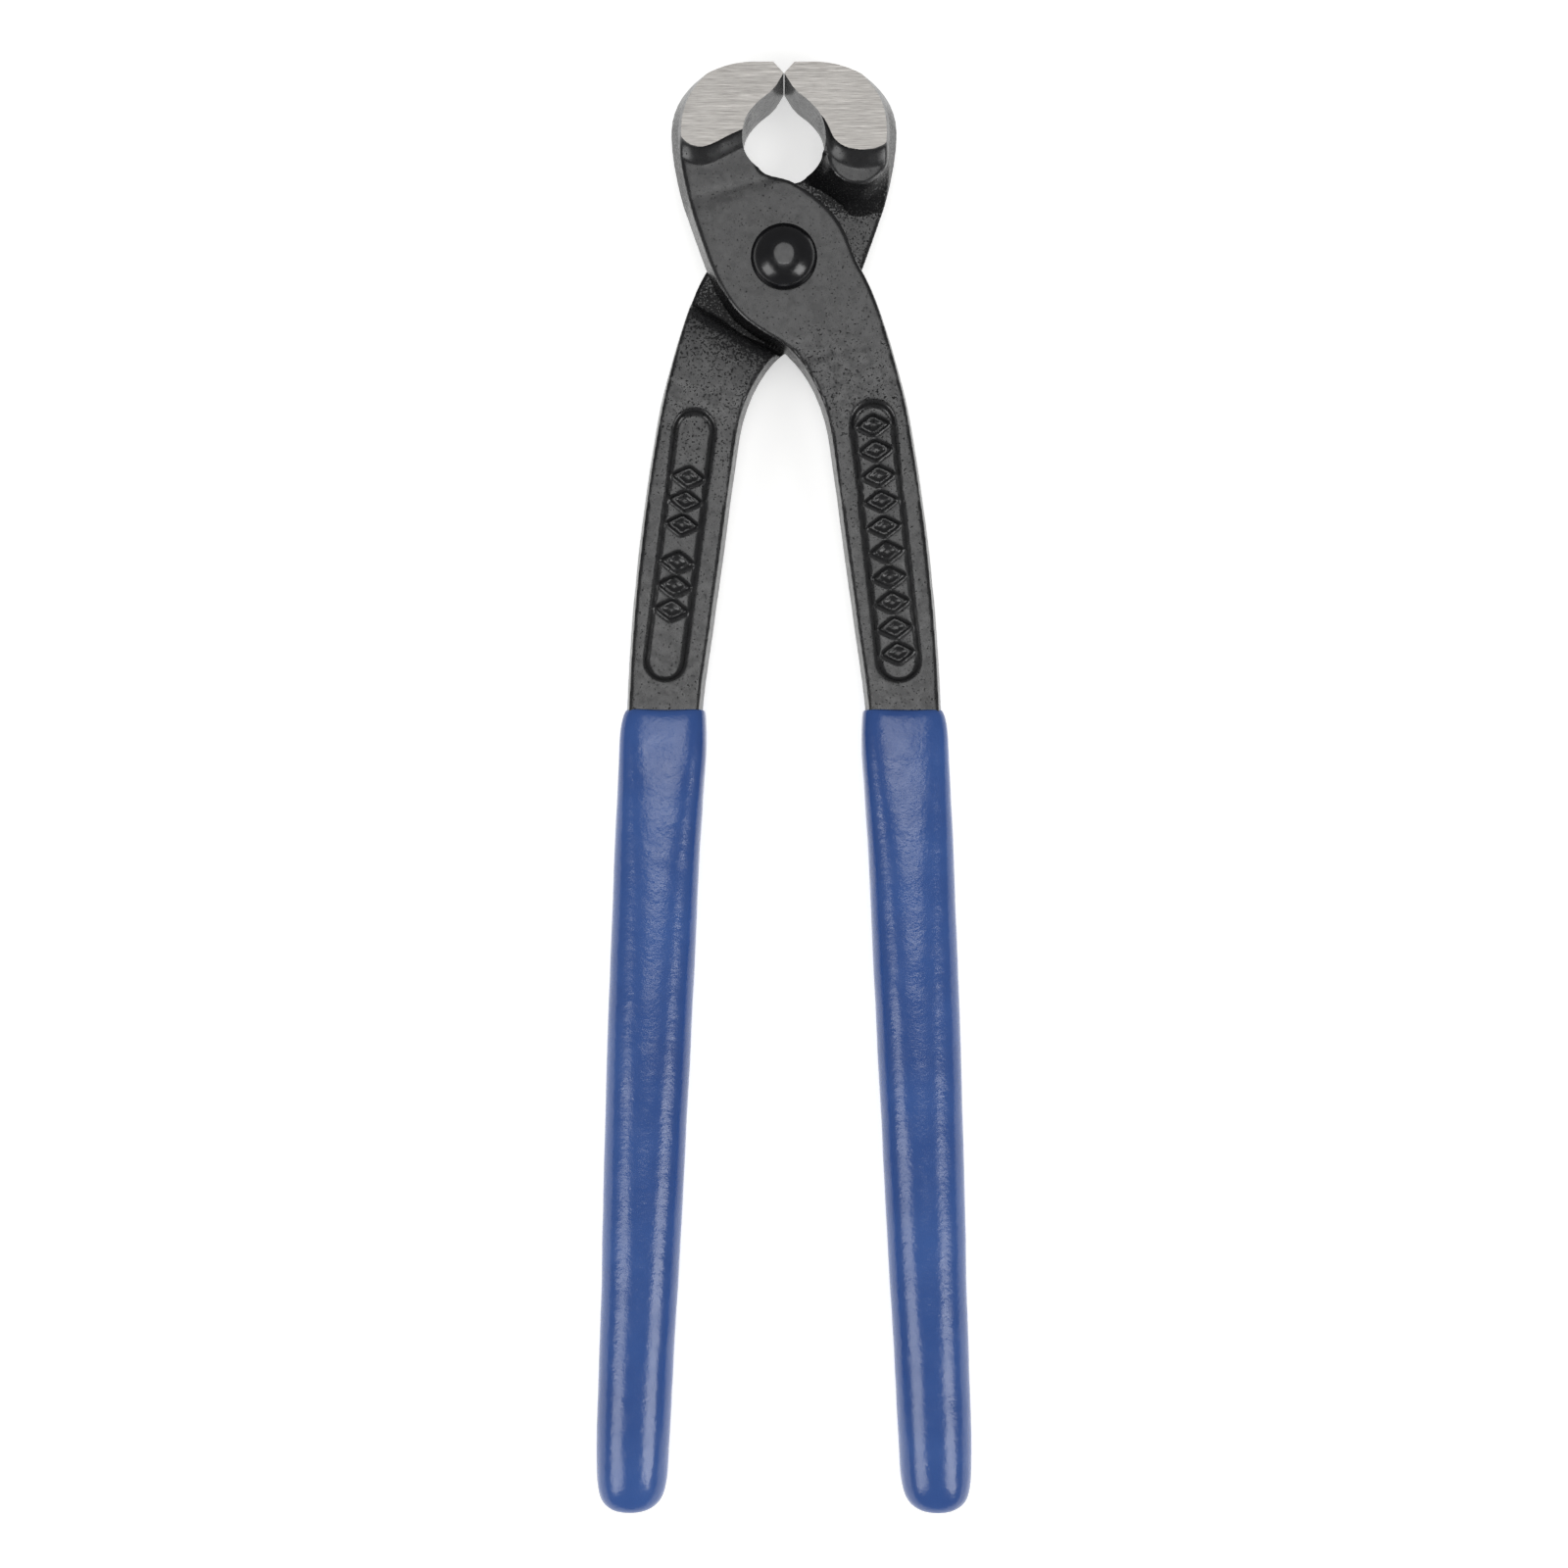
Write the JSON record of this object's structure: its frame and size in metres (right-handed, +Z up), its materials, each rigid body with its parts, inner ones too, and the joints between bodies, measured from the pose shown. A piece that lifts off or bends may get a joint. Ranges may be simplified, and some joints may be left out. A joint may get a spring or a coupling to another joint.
{
  "type": "end cutting nipper",
  "caption": "Hand nipper with two lapped, riveted levers, a wide ground jaw with meeting cutting edges, and long dipped grips that open and close the mouth.",
  "frame": {"origin": "under the middle of the bounding box, on the surface that the tool lies on", "axes": "+Y points from the grips to the jaws, +Z points up through the rivet's round head, +X points to the handle of the front lever"},
  "size_m": [0.0524, 0.2, 0.0148],
  "materials": {
    "lacquered_forging": "drop forged steel under thin black lacquer, bare ground steel on the side faces and ends of the jaws",
    "blackened_rivet": "cold headed steel rivet under the same black lacquer",
    "dipped_vinyl": "glossy dark blue vinyl, dipped"
  },
  "bodies": {
    "rear_arm": {"rear_lever": "lacquered_forging", "rear_grip": "dipped_vinyl", "pivot_rivet": "blackened_rivet"},
    "front_arm": {"front_lever": "lacquered_forging", "front_grip": "dipped_vinyl"}
  },
  "joints": [
    {"name": "jaw_hinge", "type": "hinge", "parent": "rear_arm", "child": "front_arm", "pos_m": [0, 0.0735, 0.0065], "axis": [0, 0, 1], "range_deg": [0, 42]}
  ]
}
